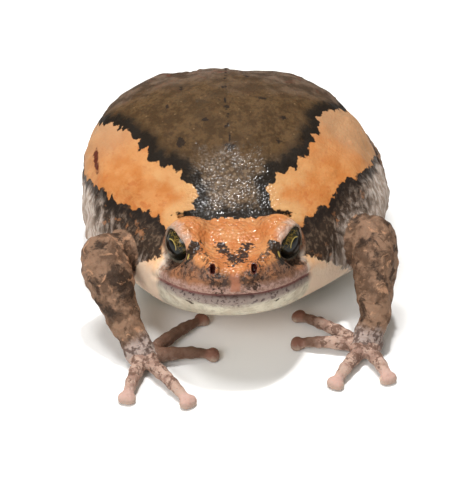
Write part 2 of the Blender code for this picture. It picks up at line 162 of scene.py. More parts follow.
def nod(p):
    """Rolls points of the head a little to its right, less and less towards the shoulders."""
    p = np.array(p, float)
    share = roll_share(p[..., 1])
    c, s = np.cos(HEAD_ROLL * share), np.sin(HEAD_ROLL * share)
    x, z = p[..., 0], p[..., 2] - NECK_HEIGHT
    p[..., 0] = x * c + z * s - HEAD_SIDESTEP * share
    p[..., 2] = z * c + x * s + NECK_HEIGHT
    return p


def trunk_mesh(sides=120, snout=14, rump=55):
    """The trunk's loft, as points and triangles. Its rings lie closer at both ends."""
    end = STATIONS[-1][0]
    ys = np.concatenate([
        snout * (1 - np.cos(np.linspace(0.05, math.pi / 2, 50))),
        np.linspace(14.4, rump, 90),
        rump + (end - rump) * np.sin(np.linspace(0.05, math.pi / 2 - 0.05, 26)),
    ])
    angles = np.linspace(0, 2 * math.pi, sides, endpoint=False)
    rings = []
    for y in ys:
        x, z = section(y, angles)
        z = station(y)[0] + z
        rings.append(np.c_[x - back_lean(y, z), np.full(sides, y), z])
    points = np.concatenate([[[0, *STATIONS[0][:2]]], *rings, [[0, *STATIONS[-1][:2]]]])
    k = np.arange(sides)
    n = (k + 1) % sides
    faces = [np.c_[np.zeros(sides, int), 1 + n, 1 + k]]
    for r in range(len(ys) - 1):
        a0, b0 = 1 + r * sides, 1 + (r + 1) * sides
        faces += [np.c_[a0 + k, a0 + n, b0 + n], np.c_[a0 + k, b0 + n, b0 + k]]
    a0 = 1 + (len(ys) - 1) * sides
    faces.append(np.c_[a0 + k, a0 + n, np.full(sides, len(points) - 1)])
    return nod(points), np.concatenate(faces)


# Solids as distances. A point p is a list of three arrays, one for each coordinate.
def smooth_min(a, b, k):
    if k <= 0:
        return np.minimum(a, b)
    h = np.clip(0.5 + 0.5 * (b - a) / k, 0, 1)
    return b + (a - b) * h - k * h * (1 - h)


def smooth_max(a, b, k):
    return -smooth_min(-a, -b, k)


def offset(p, centre):
    return [p[i] - centre[i] for i in range(3)]


def dot(a, b):
    return sum(a[i] * b[i] for i in range(3))


def length(q):
    return np.sqrt(dot(q, q))


def cone_distance(p, a, b, ra, rb):
    """Distance to a capsule whose radius goes from ra to rb."""
    q, d = offset(p, a), b - a
    t = np.clip(dot(q, d) / (dot(d, d) or 1e-9), 0, 1)
    return length([q[i] - t * d[i] for i in range(3)]) - (ra + (rb - ra) * t)


class Chain:
    """A limb, lip or fold: round pieces joined end to end along a path."""

    def __init__(self, points, radii, blend):
        self.points = np.array(points, float)
        self.radii = np.broadcast_to(np.array(radii, float), len(self.points))
        self.blend = blend

    def box(self):
        r = self.radii.max()
        return self.points.min(axis=0) - r, self.points.max(axis=0) + r

    def distance(self, p):
        found = None
        for a, b, ra, rb in zip(self.points[:-1], self.points[1:], self.radii[:-1], self.radii[1:]):
            d = cone_distance(p, a, b, ra, rb)
            found = d if found is None else smooth_min(found, d, self.blend)
        return found


class Ball:
    """An ellipsoid of three half-sizes, its axes given by the rows of turn."""

    def __init__(self, centre, size, turn=None):
        self.centre = np.array(centre, float)
        self.size = np.broadcast_to(np.array(size, float), 3)
        self.turn = np.eye(3) if turn is None else np.array(turn, float)

    def box(self):
        r = self.size.max()
        return self.centre - r, self.centre + r

    def distance(self, p):
        q = offset(p, self.centre)
        local = [dot(axis, q) / size for axis, size in zip(self.turn, self.size)]
        reach = length(local)
        return reach * (reach - 1) / np.maximum(length([v / size for v, size in zip(local, self.size)]), 1e-6)


def axes_facing(forward):
    """Rows: forward, left and up of something that points forward."""
    x = unit(forward)
    y = unit(np.cross((0, 0, 1), x))
    return np.array([x, y, np.cross(x, y)])


class Field:
    """Distances on a regular grid, joined with and cut by solids."""

    def __init__(self, low, high, step):
        self.step = step
        self.first = np.floor(np.array(low) / step).astype(int)
        self.count = np.ceil((np.array(high) - np.array(low)) / step).astype(int) + 2
        self.values = np.full(self.count, FAR, np.float32)
        self.corner = tuple(int(i) for i in self.first)

    def part(self, low, high):
        lo = np.clip(np.floor(np.array(low) / self.step).astype(int) - self.first, 0, self.count)
        hi = np.clip(np.ceil(np.array(high) / self.step).astype(int) - self.first + 1, 0, self.count)
        where = tuple(slice(a, b) for a, b in zip(lo, hi))
        p = np.ogrid[where]
        return where, [((g + f) * self.step).astype(np.float32) for g, f in zip(p, self.first)]

    def fill(self, points, faces):
        grid = openvdb.FloatGrid.createLevelSetFromPolygons(
            points.astype(np.float32),
            triangles=faces.astype(np.uint32),
            transform=openvdb.createLinearTransform(self.step),
            halfWidth=FAR / self.step,
        )
        grid.copyToArray(self.values, ijk=self.corner)

    def apply(self, solid, blend, cut):
        low, high = solid.box()
        where, p = self.part(low - blend - MARGIN, high + blend + MARGIN)
        d = solid.distance(p)
        old = self.values[where]
        self.values[where] = smooth_max(old, -d, blend) if cut else smooth_min(old, d, blend)

    def join(self, solid, blend):
        self.apply(solid, blend, False)

    def cut(self, solid, blend):
        self.apply(solid, blend, True)

    def mesh(self):
        grid = openvdb.FloatGrid(FAR)
        grid.transform = openvdb.createLinearTransform(self.step)
        grid.copyFromArray(self.values, ijk=self.corner)
        return grid.convertToQuads(0.0)


# The legs. A foreleg's joints are its shoulder, elbow and wrist, a hind leg's its hip, knee, ankle and sole.
FORELEGS = {
    "right": {
        "joints": [(-11.5, 19.0, 7.0), (-18.4, 12.6, 11.3), (-14.5, 5.2, 4.4)],
        "palm": (-12.3, 2.9, 1.6),
        "tips": [(-4.5, 12.6, 0.6), (-2.6, 4.1, 0.6), (-5.7, -6.0, 0.55), (-13.8, -5.3, 0.55)],
    },
    "left": {
        "joints": [(12.0, 20.5, 6.6), (19.4, 16.2, 12.4), (19.0, 7.3, 4.6)],
        "palm": (17.6, 5.3, 1.6),
        "tips": [(8.8, 13.4, 0.6), (8.1, 6.6, 0.6), (12.8, -2.3, 0.55), (20.1, -1.3, 0.55)],
    },
}
HIND_JOINTS = [(10.5, 52.5, 9.8), (20, 34.8, 8.3), (16.4, 57, 4.6), (18.8, 47.5, 1.7)]
TOE_TIPS = [
    (14.6, 42.6, 0.55), (15.2, 38.4, 0.55), (18.2, 33.4, 0.55), (22, 30.6, 0.55), (23.4, 37.2, 0.55)
]

limbs, digits, tips = [], [], []


def digit(root, tip, wide, narrow, pad, rise):
    """A finger or toe with knuckles and a blunt, widened tip."""
    along = unit((tip - root) * LEVEL)
    ts = np.array([0, 0.2, 0.34, 0.48, 0.62, 0.76, 0.9])
    bulge = np.array([1.0, 0.95, 1.06, 0.93, 1.05, 0.93, 0.97])
    points = [root + (tip - root) * t + np.array((0, 0, rise * math.sin(math.pi * t) ** 0.8)) for t in ts]
    radii = (wide + (narrow - wide) * ts) * bulge
    digits.append(Chain(points, radii, 0.35))
    across = np.cross(along, (0, 0, 1))
    end = tip - along * pad * 0.35
    tips.append(Chain([end - across * pad * 0.32, end + across * pad * 0.32], [pad * 0.78] * 2, 0.2))
    last_bone = [tip - along * np.linalg.norm(tip - root) * 0.1, end]
    digits.append(Chain(last_bone, [narrow * 0.95, pad * 0.7], 0.2))


def girth(places, radii):
    """Nine radii along a part of a leg, from a few given ones."""
    return np.interp(np.linspace(0, 1, 9), places, radii)


def foreleg(spec):
    shoulder, elbow, wrist = np.array(spec["joints"])
    palm, fingers = np.array(spec["palm"]), np.array(spec["tips"])
    upper = [shoulder, shoulder * 0.5 + elbow * 0.5 + (0, 0, 0.3), elbow]
    limbs.append(Chain(smooth_line(upper, 3), np.linspace(2.9, 2.5, 7), 1.0))
    lower = smooth_line([elbow, elbow + (wrist - elbow) * 0.38, wrist], 4)
    limbs.append(Chain(lower, girth((0, 0.18, 0.42, 1), (2.45, 2.85, 3.05, 1.8)), 0.8))
    limbs.append(Chain([wrist, (wrist + palm) / 2, palm + (0, 0, 0.2)], [1.85, 1.75, 1.6], 0.8))
    middle = (fingers[1] + fingers[2]) / 2
    limbs.append(Ball(palm + (0, 0, -0.1), (2.5, 2.2, 1.35), axes_facing((middle - palm) * LEVEL)))
    for tip in fingers:
        toward = unit((tip - palm) * LEVEL)
        digit(palm + toward * 0.9 - (0, 0, 0.55), tip, 0.98, 0.6, 1.08, 0.55)


def hind_leg(side):
    hip, knee, ankle, sole = np.array(HIND_JOINTS) * (side, 1, 1)
    thigh = (hip + knee) / 2 + (side * 2.5, 2.4, 0.4)
    limbs.append(Chain(smooth_line([hip, thigh, knee], 4), girth((0, 0.5, 1), (5.2, 5.8, 4.1)), 1.0))
    calf = knee + (ankle - knee) * 0.4 + (side * 1.2, 0, 0.3)
    limbs.append(Chain(smooth_line([knee, calf, ankle], 4), girth((0, 0.4, 1), (3.9, 3.8, 2.3)), 0.8))
    limbs.append(Chain(smooth_line([ankle, sole], 4), np.linspace(2.2, 1.7, 5), 0.8))
    toes = np.array(TOE_TIPS) * (side, 1, 1)
    limbs.append(Ball(sole + (0, 0, -0.2), (3.9, 2.4, 1.4), axes_facing((toes[3] - sole) * LEVEL)))
    for tip in toes:
        toward = unit((tip - sole) * LEVEL)
        digit(sole + toward * 1.2 - (0, 0, 0.75), tip, 0.92, 0.58, 0.82, 0.15)
    spade = [sole + (-side * 1.9, 0.8, -0.9), sole + (-side * 2.5, -1.0, -0.9)]
    digits.append(Chain(spade, [0.75, 0.6], 0.3))


for spec in FORELEGS.values():
    foreleg(spec)
for side in SIDES.values():
    hind_leg(side)

body = Field((-26, -8.5, -1.2), (26, 63.5, 29.5), STEP)
body.fill(*trunk_mesh())
for solids, blend in ((limbs, 0.8), (digits, 0.45), (tips, 0.3)):
    for solid in solids:
        body.join(solid, blend)


# The head: mouth, lips, eyes, lids and nostrils.
def mouth_height(y):
    return 13.0 - 0.24 * y - 0.006 * y * y


def lip_path(lift, depth, corner=9.6):
    points = []
    for y in np.concatenate([np.linspace(corner, 1.2, 22), [0.9, 0.7, 0.5]]):
        z = mouth_height(y) + lift
        points.append((side_of_trunk(y, z) - depth, y + depth * 0.4, z))
    front = (0.0, points[-1][1] - 0.28, points[-1][2])
    return np.array(points + [front] + [(-x, y, z) for x, y, z in points[::-1]])


def tapered(count, full, least):
    """Radii that swell from least to full in the middle of a path."""
    return least + (full - least) * np.sin(np.linspace(0, math.pi, count)) ** 0.5


class Opening:
    """The cone between the lids: its point is the middle of the eye, and it is wider along the slant."""

    def __init__(self, centre, look, slant):
        self.centre = centre
        self.look = unit(look)
        self.along = unit(slant - self.look * np.dot(slant, self.look))
        self.across = np.cross(self.look, self.along)

    def box(self):
        return self.centre - 4.5, self.centre + 4.5

    def distance(self, p):
        q = offset(p, self.centre)
        look, along, across = [dot(axis, q) for axis in (self.look, self.along, self.across)]
        wide, high = np.tan(LID_OPENING[0]), np.tan(LID_OPENING[1])
        r = np.sqrt((along / wide) ** 2 + (across / high) ** 2 + 0.01)
        cone = (r - look - 0.1) / math.sqrt(1 + 1 / (wide * high))
        return smooth_max(cone, length(q) - LID_RADIUS, 2.4)

    def edge(self, angle, radius, beyond):
        """A point over the opening's edge, beyond it by an angle."""
        c, s = math.cos(angle), math.sin(angle)
        wide, high = LID_OPENING[0] + beyond, LID_OPENING[1] + beyond
        reach = math.hypot(c * math.tan(LID_OPENING[0]), s * math.tan(LID_OPENING[1]))
        side = unit(self.along * c * math.tan(wide) + self.across * s * math.tan(high))
        lean = math.atan(reach) + beyond
        return self.centre + radius * (self.look * math.cos(lean) + side * math.sin(lean))


def eye_reach(bend):
    """The eyeball's radius at an angle from where it looks: full in front, flattened under the lids."""
    return EYE_RADIUS * (1 - 0.10 * ramp(bend, 0.95, 1.5))


class Socket:
    """The room for an eyeball."""

    def __init__(self, centre, look):
        self.centre = centre
        self.look = unit(look)

    def box(self):
        return self.centre - EYE_RADIUS, self.centre + EYE_RADIUS

    def distance(self, p):
        q = offset(p, self.centre)
        reach = length(q)
        along = dot(self.look, q) / np.maximum(reach, 1e-6)
        return reach - eye_reach(np.arccos(along.clip(-1, 1))) - 0.02


eyes, rims, nostrils = {}, [], []


def eye_mound(name, side):
    """The eye's mound, running back into the neck, and the ridge from the eye to the nostril."""
    mirror = np.array((side, 1, 1))
    centre = nod(EYE_CENTRE * mirror)
    eyes[name] = Opening(centre, EYE_LOOK * mirror, LID_SLANT * mirror)
    body.join(Ball(centre, MOUND_RADIUS), 0.9)
    to_neck = [centre + (-side * 0.5, 0.9, -0.1), centre + (-side * 0.2, 3.6, -1.6)]
    body.join(Chain(to_neck, [2.65, 2.3], 0.5), 1.4)
    brow = EYE_CENTRE * mirror + (-side * 0.6, -2.5, 1.0)
    ridge = nod([brow, (side * 4.1, 4.2, 15.5), (side * 2.8, 1.9, 15.6)])
    body.join(Chain(ridge, [1.3, 1.0, 0.75], 0.5), 1.3)


def lips():
    """Two rounded lips, and the line of the mouth between them."""
    for lift in (LIP_LIFT, -LIP_LIFT):
        path = nod(lip_path(lift, LIP_RADIUS - LIP_PROUD))
        body.join(Chain(path, tapered(len(path), LIP_RADIUS, 0.4), 0.2), 0.5)
    path = nod(lip_path(0.0, 0.0))
    body.cut(Chain(path, tapered(len(path), 0.26, 0.1), 0.1), 0.22)


def lids(name, side):
    """The opening, a rim all round it, a thick roll over its inner and upper side, and the eyeball's room."""
    opening = eyes[name]
    body.cut(opening, 0.3)
    angles = np.linspace(0, 2 * math.pi, 49)
    rim = [opening.edge(a, EYE_RADIUS + RIM_LIFT, 0.03) for a in angles]
    body.join(Chain(rim, RIM_RADIUS, 0.1), 0.25)
    rims.append(Chain(rim[::2], 0.0, 0.0))
    roll = []
    for a in angles[:-1]:
        place = opening.edge(a, EYE_RADIUS + ROLL_LIFT, ROLL_BEYOND)
        if (place - opening.centre) @ unit((-side * 0.75, 0.15, 0.65)) > 0.9:
            roll.append((a, place))
    # The roll starts after the widest gap between its angles.
    start = max(range(len(roll)), key=lambda k: (roll[k][0] - roll[k - 1][0]) % (2 * math.pi))
    path = [place for _, place in roll[start:] + roll[:start]]
    swell = np.sin(math.pi * np.linspace(0, 1, len(path))) ** 0.7
    body.join(Chain(path, 0.3 + 0.38 * swell, 0.25), 0.5)
    body.cut(Socket(opening.centre, PUPIL_AXIS * (side, 1, 1)), 0.05)


def nostril(side):
    centre = nod(np.array((side, 1, 1)) * NOSTRIL)
    body.join(Ball(centre, (0.8, 0.85, 0.8)), 0.5)
    hole = Ball(centre + (side * 0.12, -0.3, 0.12), (0.34, 0.6, 0.68))
    body.cut(hole, 0.15)
    nostrils.append(hole)


def neck_fold():
    """The fold across the neck, just behind the eyes."""
    left = [(5.4, 13.6, 17.3), (9.2, 14.6, 15.2)]
    right = [(-x, y, z) for x, y, z in left[::-1]]
    path = smooth_line(nod([*right, (0, 13.2, 17.85), *left]), 6)
    body.cut(Chain(path, tapered(len(path), 0.35, 0.02), 0.2), 0.6)


for name, side in SIDES.items():
    eye_mound(name, side)
# The flat of the head between the eyes.
body.join(Ball(nod((0, 10.2, 14.3)), (5.6, 3.8, 2.75)), 1.0)
lips()
for name, side in SIDES.items():
    lids(name, side)
    nostril(side)
neck_fold()

# The left eye has to lie where the frame has it.
assert all(eye_low[i] < (eyes["left"].centre + SHIFT)[i] * MM < eye_high[i] for i in range(3))

# What touches the floor is cut level with it.
where, p = body.part((-30, -10, -2), (30, 70, 4))
body.values[where] = smooth_max(body.values[where], -p[2], 0.25)

points, quads = body.mesh()
points = points.astype(float)
quads = quads.astype(int)


def largest_piece(points, quads):
    """Drops loose scraps: keeps the connected piece that has the most faces."""
    label = np.arange(len(points))
    while True:
        low = label[quads].min(axis=1)
        new = label.copy()
        for k in range(4):
            np.minimum.at(new, quads[:, k], low)
        new = new[new]
        if (new == label).all():
            break
        label = new
    names, counts = np.unique(label[quads[:, 0]], return_counts=True)
    keep = label[quads[:, 0]] == names[counts.argmax()]
    quads = quads[keep]
    used = np.unique(quads)
    index = np.full(len(points), -1)
    index[used] = np.arange(len(used))
    return points[used], index[quads]


points, quads = largest_piece(points, quads)


def vertex_normals(points, quads):
    normal = np.cross(points[quads[:, 2]] - points[quads[:, 0]], points[quads[:, 3]] - points[quads[:, 1]])
    total = np.zeros_like(points)
    for k in range(4):
        np.add.at(total, quads[:, k], normal)
    return total / np.maximum(np.linalg.norm(total, axis=1, keepdims=True), 1e-12)


normals = vertex_normals(points, quads)
# Faces must turn outwards.
middle = points.mean(axis=0)
if np.einsum("ij,ij->i", normals, points - middle).mean() < 0:
    quads = quads[:, ::-1]
    normals = -normals


# Where the markings lie.
def trunk_table():
    """Arc length from the back's middle line and distance from the axis, by y and by angle above the side."""
    ys = np.linspace(0.2, 61.8, 160)
    angles = np.linspace(-math.pi / 2, math.pi / 2, 181)
    arcs, reaches = [], []
    for y in ys:
        x, z = section(y, np.linspace(math.pi / 2, -math.pi / 2, 181))
        run = np.concatenate([[0], np.cumsum(np.hypot(np.diff(x), np.diff(z)))])
        found = np.arctan2(z, x)
        arcs.append(np.interp(angles, found[::-1], run[::-1]))
        reaches.append(np.interp(angles, found[::-1], np.hypot(x, z)[::-1]))
    return ys, angles, np.array(arcs), np.array(reaches)


def between(table, rows, columns, y, angle):
    i = np.interp(y, rows, np.arange(len(rows)))
    j = np.interp(angle, columns, np.arange(len(columns)))
    i0 = np.minimum(i.astype(int), len(rows) - 2)
    j0 = np.minimum(j.astype(int), len(columns) - 2)
    i, j = i - i0, j - j0
    near = table[i0, j0] * (1 - j) + table[i0, j0 + 1] * j
    far = table[i0 + 1, j0] * (1 - j) + table[i0 + 1, j0 + 1] * j
    return near * (1 - i) + far * i


def on_trunk(points):
    """y, signed arc length from the back's middle line, and height above the trunk's surface."""
    ys, angles, arcs, reaches = trunk_table()
    x, y, z = points.T
    x = x + back_lean(y, z)
    middle = np.interp(y, LINES[:, 0], LINES[:, 1])
    angle = np.arctan2(z - middle, np.abs(x))
    arc = between(arcs, ys, angles, y, angle) * np.sign(x)
    height = np.hypot(x, z - middle) - between(reaches, ys, angles, y, angle)
    return np.c_[y, arc, height]


def jagged(points, seed, depth=0.75, pitch=1.2):
    """A smooth curve through the points, given the uneven teeth of the frog's markings."""
    random = np.random.default_rng(seed)
    curve = smooth_line(points, 12)
    run = np.concatenate([[0], np.cumsum(np.hypot(*np.diff(curve, axis=0).T))])
    at, side, found = 0.0, 1, [curve[0]]
    while at < run[-1] - pitch:
        at += pitch * random.uniform(0.35, 1.5)
        place, ahead = [np.array([np.interp(t, run, curve[:, k]) for k in (0, 1)]) for t in (at, at + 0.2)]
        along = unit(ahead - place + 1e-9)
        side = -side
        found.append(place + np.array((-along[1], along[0])) * side * depth * random.uniform(0.0, 1.0) ** 1.3)
    return np.array(found + [curve[-1]])


def segment_distance(p, a, b):
    """Distance to the line from a to b, by the first two coordinates."""
    d = b - a
    w = p[:, :2] - a
    t = np.clip((w @ d) / max(d @ d, 1e-9), 0, 1)
    return np.hypot(w[:, 0] - t * d[0], w[:, 1] - t * d[1])


def signed_distance(p, outline):
    """Distance to a closed outline in the plane, less than nothing inside."""
    best = np.full(len(p), 1e9)
    inside = np.zeros(len(p), bool)
    for a, b in zip(outline, np.roll(outline, -1, axis=0)):
        best = np.minimum(best, segment_distance(p, a, b))
        d = b - a
        crosses = (a[1] > p[:, 1]) != (b[1] > p[:, 1])
        x = a[0] + (p[:, 1] - a[1]) * d[0] / (d[1] if abs(d[1]) > 1e-9 else 1e-9)
        inside ^= crosses & (p[:, 0] < x)
    return np.where(inside, -best, best)


# Outlines on the trunk: y, then arc length from the middle line, left of it being more than nothing.
SADDLE_FRONT = [
    (14.3, -8.9), (13.9, -7.6), (12.9, -6.4), (12.4, -4), (12.2, 0), (12.4, 3.2), (12.9, 5.6), (13.9, 7),
    (14.3, 8.3),
]
SADDLE_LEFT = [
    (14.2, 5), (16.6, 4.9), (18.8, 6.6), (20.4, 9.3), (22.5, 10.9), (25, 12.4), (28, 13.6), (31, 14.6),
    (34, 17), (37, 19.2), (41, 20.6), (46, 20.6), (50, 19.6), (54, 21), (57, 24),
]
SADDLE_RIGHT = [
    (14.2, -5.5), (16.5, -5.3), (19, -7.6), (21, -10.6), (23.5, -12.7), (26, -14.3), (29, -16.2),
    (31.5, -18.3), (34, -20.6), (37, -22), (41, -22.4), (46, -21.6), (50, -20.4), (54, -21), (57, -24),
]
SADDLE_REAR = [(70, 30), (70, -30)]
BAND_LEFT = [
    (9, 5.9), (10.6, 8), (13.2, 9.6), (15.2, 11), (17.2, 13.4), (19.2, 15.2), (21.4, 17.4),
    (23.3, 19.8), (25.6, 22), (30, 24.6), (36, 26.2), (42, 25), (46.5, 21.5), (48.5, 17.8),
]
BAND_RIGHT = [
    (9, -5.9), (10.6, -7.8), (12.8, -9.4), (14.7, -11.2), (17.4, -15.4), (20, -18.8), (22.4, -21.4),
    (25, -23.7), (30, -26), (36, -27), (42, -26), (46.5, -22.5), (48.5, -19),
]
BELOW_LEFT = [(70, 18), (70, 90), (-2, 90), (4, 20), (8, 7.5)]
BELOW_RIGHT = [(70, -19), (70, -90), (-2, -90), (4, -20), (8, -7.5)]

# The dark spots of the back with their sizes, and the dark red crease high on the right band.
BACK_SPOTS = [
    (22.8, -7, 0.55), (26, -3.2, 0.4), (31, 5.3, 0.7), (23, 7, 0.45), (21.4, -0.1, 0.6),
    (24.6, -0.4, 0.35), (28.4, 0.1, 0.45), (33.5, -0.3, 0.5), (27.2, 8.2, 0.35), (34.5, -6.5, 0.5),
    (38, 3, 0.5), (30, -8.5, 0.4),
]
CREASE = [(27.4, -20.9), (25.8, -21.2), (24.6, -21)]
# The V on the snout, seen from above, three dark specks on the jaw, and a yellow streak before each eye.
SNOUT_LINES = [[(-2.0, 6.6), (-1.1, 5.2), (-0.3, 3.4), (-0.2, 2.4)], [(1.7, 6.5), (0.9, 5.0), (0.5, 3.0)]]
SNOUT_UNDER, BACK_START = 13.5, 16
JAW_SPECKS = [(-6.1, 2.7, 10.3), (-5.7, 2.6, 10.1), (5.4, 3.1, 10.2)]
EYE_CORNERS = [[(-6.05, 4.75, 16.0), (-5.95, 4.6, 15.3)], [(5.65, 4.9, 16.3), (5.6, 4.75, 15.6)]]
NOWHERE = 9.0

x, y, z = points.T
trunk = on_trunk(points)
plane = trunk[:, :2]
around = np.abs(trunk[:, 1])
saddle = signed_distance(plane, np.concatenate([
    jagged(SADDLE_FRONT, 3, 0.35, 0.8),
    jagged(SADDLE_LEFT, 11),
    SADDLE_REAR,
    jagged(SADDLE_RIGHT, 12)[::-1],
]))


def below_band(edge, seed, rest):
    """Distance to the flank's region under one side's orange band, less than nothing inside."""
    return signed_distance(plane, np.concatenate([jagged(edge, seed, 0.7), rest]))


flank = np.minimum(below_band(BAND_LEFT, 21, BELOW_LEFT), below_band(BAND_RIGHT, 22, BELOW_RIGHT))


def nearest(solids, p):
    q = list(p.T)
    found = solids[0].distance(q)
    for solid in solids[1:]:
        found = np.minimum(found, solid.distance(q))
    return found


def from_points(places):
    """Distance to the nearest of some places."""
    return np.min([np.linalg.norm(points - place, axis=1) for place in places], axis=0)


limb_near = nearest(limbs + digits, points)
soles = [np.array(HIND_JOINTS[3]) * (side, 1, 1) for side in SIDES.values()]
hand = from_points([spec["palm"] for spec in FORELEGS.values()] + soles)
hand = np.where(nearest(digits, points) < 0.6, 0.0, hand)
tip = nearest(tips, points)
eye_gap = from_points([opening.centre for opening in eyes.values()]) - EYE_RADIUS
rim_gap = nearest(rims, points)
mouth = z - mouth_height(y) - x * math.sin(HEAD_ROLL) * roll_share(y)


def flat_distance(chains, p):
    """Distance to line pieces seen from above."""
    pairs = [pair for chain in chains for pair in zip(chain[:-1], chain[1:])]
    return np.min([segment_distance(p, np.array(a), np.array(b)) for a, b in pairs], axis=0)


spot = np.min([np.hypot(*(plane - at).T) - size for *at, size in BACK_SPOTS], axis=0)
cross = np.where(z > SNOUT_UNDER, flat_distance(SNOUT_LINES, points), NOWHERE)
cross = np.minimum(cross, np.where(y > BACK_START, spot + 0.55, NOWHERE))
crease = np.minimum(flat_distance([CREASE], plane), from_points(JAW_SPECKS) + 0.05)
corner = nearest([Chain(streak, [0.13, 0.08], 0.1) for streak in EYE_CORNERS], points)


# Fine relief.
def waves(p, size, seed, count=14):
    """A smooth uneven field between about -1 and 1 whose lumps are about this size."""
    random = np.random.default_rng(seed)
    total = np.zeros(len(p))
    for _ in range(count):
        way = unit(random.normal(size=3)) * 2 * math.pi / size * random.uniform(0.6, 1.5)
        total += np.sin(p @ way + random.uniform(0, 2 * math.pi))
    return total / math.sqrt(count)


def warts(p, seed, count, low, high, size, height):
    """Low round bumps at random places of the trunk, between two distances from the snout."""
    random = np.random.default_rng(seed)
    total = np.zeros(len(p))
    in_reach = (trunk[:, 0] > low) & (trunk[:, 0] < high) & (around < 34)
    chosen = np.flatnonzero(in_reach & (np.abs(trunk[:, 2]) < 0.5))
    for index in random.choice(chosen, count, replace=False):
        near = np.linalg.norm(p - p[index], axis=1)
        wide = size * random.uniform(0.6, 1.4)
        total = np.maximum(total, height * random.uniform(0.5, 1.2) * np.exp(-((near / wide) ** 2)))
    return total


on_body = ramp(y, 14, 20) * ramp(z, 1.0, 4.0) * (1 - ramp(trunk[:, 2], 0.5, 2.0))
on_limb = ramp(z, 1.0, 3.0) * (1 - ramp(limb_near, 0.2, 1.0)) * ramp(eye_gap, 3, 6)
relief = on_body * (0.22 * waves(points, 9.0, 1) + 0.09 * waves(points, 3.4, 2))
relief += on_body * warts(points, 5, 70, 19, 56, 0.55, 0.26)
relief += on_limb * (0.10 * waves(points * (1.0, 1.0, 1.5), 3.0, 4) + 0.05 * waves(points, 1.5, 6))
# Loose skin folds down the flanks, behind the arms.
FOLD_PITCH, FOLD_HEIGHT = 3.4, 0.13
folds = np.sin((trunk[:, 0] + 1.2 * waves(points, 9.0, 8)) * 2 * math.pi / FOLD_PITCH)
relief += FOLD_HEIGHT * folds * ramp(around, 17, 25) * (1 - ramp(around, 42, 48)) * on_body
points = points + normals * relief[:, None]
points[:, 2] = points[:, 2].clip(min=0.0)


# Paint. Materials are built by arithmetic on the sockets of their nodes.
def rgb(red, green, blue, lit=0.66):
    """A colour as seen on a screen in this light, made linear and freed of the light."""
    share = np.array((red, green, blue)) / 255
    return tuple(np.where(share > 0.04045, ((share + 0.055) / 1.055) ** 2.4, share / 12.92) * lit)


class Value:
    """A socket of a material's node tree. Arithmetic on it adds nodes."""

    def __init__(self, paint, socket):
        self.paint, self.socket = paint, socket

    def __add__(self, other):
        return self.paint.math("ADD", self, other)

    def __sub__(self, other):
        return self.paint.math("SUBTRACT", self, other)

    def __rsub__(self, other):
        return self.paint.math("SUBTRACT", other, self)

    def __mul__(self, other):
        return self.paint.math("MULTIPLY", self, other)

    __radd__ = __add__
    __rmul__ = __mul__

    def __abs__(self):
        return self.paint.math("ABSOLUTE", self)


class Paint:
    """A material. Its noise and cells are laid out in self.place."""

    def __init__(self, name):
        self.material = bpy.data.materials.new(name)
        self.material.use_nodes = True
        self.tree = self.material.node_tree
        self.shader = self.tree.nodes["Principled BSDF"]

    def put(self, socket, value):
        if isinstance(value, Value):
            self.tree.links.new(value.socket, socket)
        elif isinstance(value, tuple) and socket.type == "RGBA":
            socket.default_value = (*value, 1)
        else:
            socket.default_value = value

    def node(self, kind, inputs, out=0, **settings):
        node = self.tree.nodes.new(kind)
        for key, value in settings.items():
            setattr(node, key, value)
        for key, value in inputs.items():
            self.put(node.inputs[key], value)
        return Value(self, node.outputs[out])

    def math(self, operation, *values):
        return self.node("ShaderNodeMath", dict(enumerate(values)), operation=operation)

    def most(self, a, b):
        return self.math("MAXIMUM", a, b)

    def step(self, value, low, high):
        """0 below low, 1 above high, smooth between. With low over high it falls instead."""
        if low > high:
            return 1 - self.step(value, high, low)
        limits = {0: value, 1: low, 2: high}
        return self.node("ShaderNodeMapRange", limits, interpolation_type="SMOOTHSTEP")

    def product(self, *shares):
        """The product of shares, each a value or the (value, low, high) of a step."""
        first, *others = [self.step(*share) if isinstance(share, tuple) else share for share in shares]
        return math.prod(others, start=first)

    def mix(self, a, b, *shares):
        """From colour a to colour b by the product of the shares."""
        a, b = [rgb(*colour) if isinstance(colour, tuple) else colour for colour in (a, b)]
        return self.node("ShaderNodeMix", {0: self.product(*shares), 6: a, 7: b}, out=2, data_type="RGBA")

    def layers(self, colour, *layers):
        """Colours laid over a first one. A layer is its colour, its strength and the shares that limit it."""
        for over, strength, *shares in layers:
            colour = self.mix(colour, over, *shares, strength)
        return colour

    def attribute(self, name):
        vector = self.node("ShaderNodeAttribute", {}, out=1, attribute_name=name)
        parts = self.tree.nodes.new("ShaderNodeSeparateXYZ")
        self.put(parts.inputs[0], vector)
        return vector, *[Value(self, socket) for socket in parts.outputs]

    def noise(self, size, detail=3.0, rough=0.55, warp=0.0, stretch=None):
        place = self.place
        if stretch:
            place = self.node("ShaderNodeVectorMath", {0: place, 1: stretch}, operation="MULTIPLY")
        shape = {"Scale": 1 / size, "Detail": detail, "Roughness": rough, "Distortion": warp}
        return self.node("ShaderNodeTexNoise", {"Vector": place, **shape})

    def cells(self, size):
        """Distance to the nearest of scattered points, in shares of their pitch."""
        inputs = {"Vector": self.place, "Scale": 1 / size, "Randomness": 1.0}
        return self.node("ShaderNodeTexVoronoi", inputs, feature="F1")

    def set(self, **values):
        for key, value in values.items():
            self.put(self.shader.inputs[key.replace("_", " ")], value)


